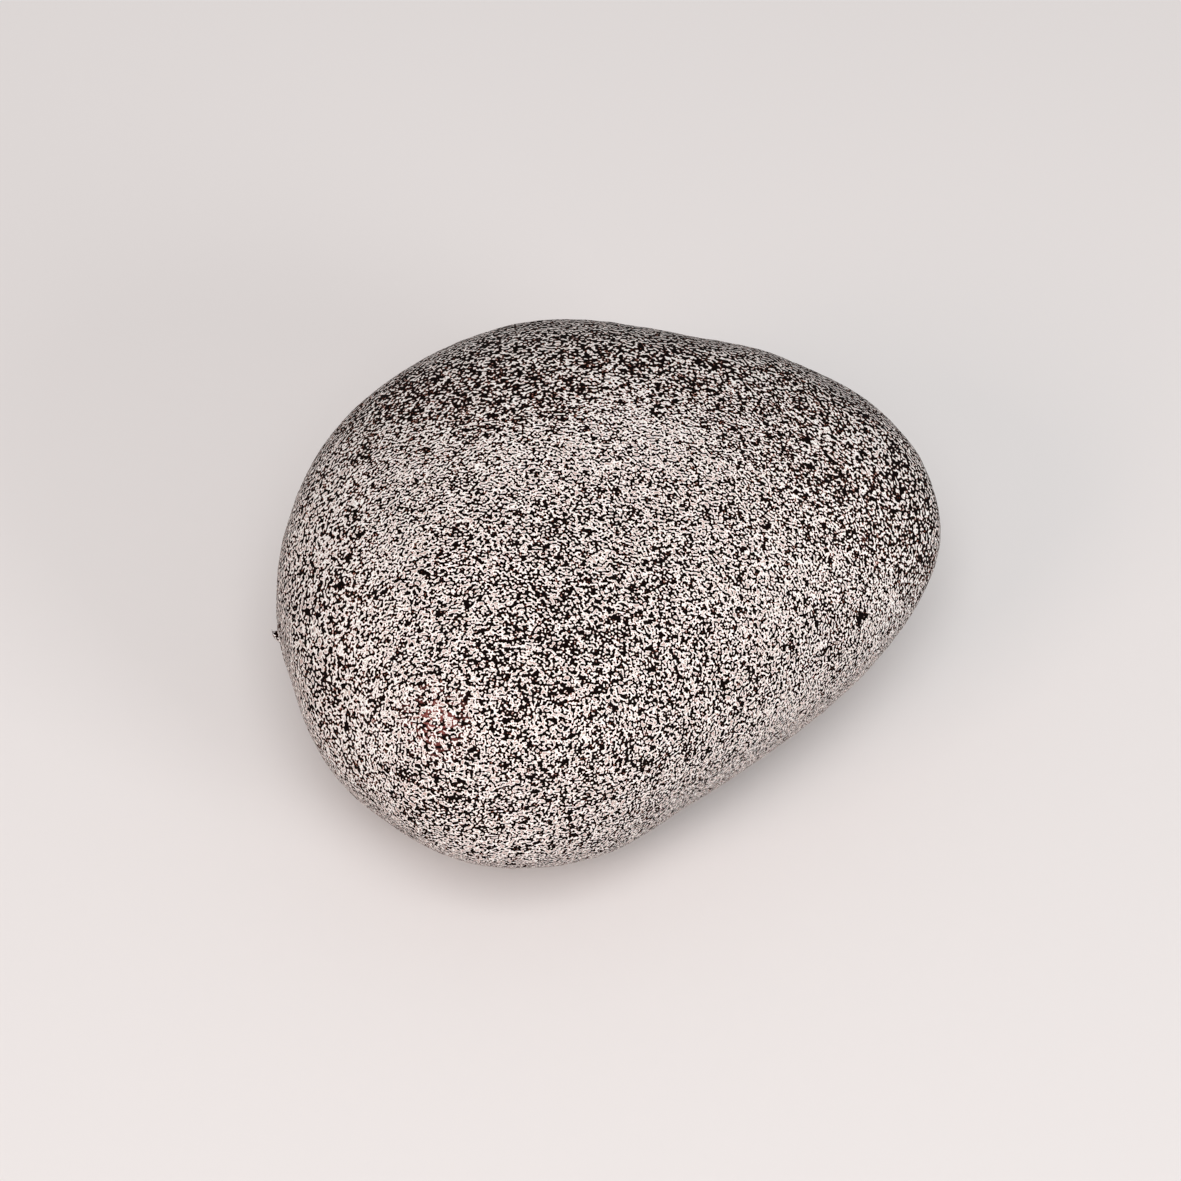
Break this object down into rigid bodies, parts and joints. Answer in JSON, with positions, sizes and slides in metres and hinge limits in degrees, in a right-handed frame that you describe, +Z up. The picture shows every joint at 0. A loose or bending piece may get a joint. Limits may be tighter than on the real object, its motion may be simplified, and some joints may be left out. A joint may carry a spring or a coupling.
{
  "type": "river pebble",
  "caption": "Loose egg-shaped river pebble of pale grey stone with fine black specks, lying on a small worn flat, used as decoration, weight or landscaping stone.",
  "frame": {"origin": "on the ground under the middle of the stone's box", "axes": "+X along the stone's long axis towards its narrow end, +Z up from the worn flat that it lies on"},
  "size_m": [0.074, 0.0588, 0.0447],
  "materials": {
    "speckled_stone": "dry, dull, water-worn, pale pinkish grey with fine black mineral specks and a small rusty stain"
  },
  "bodies": {
    "root": {"pebble": "speckled_stone"}
  },
  "joints": []
}
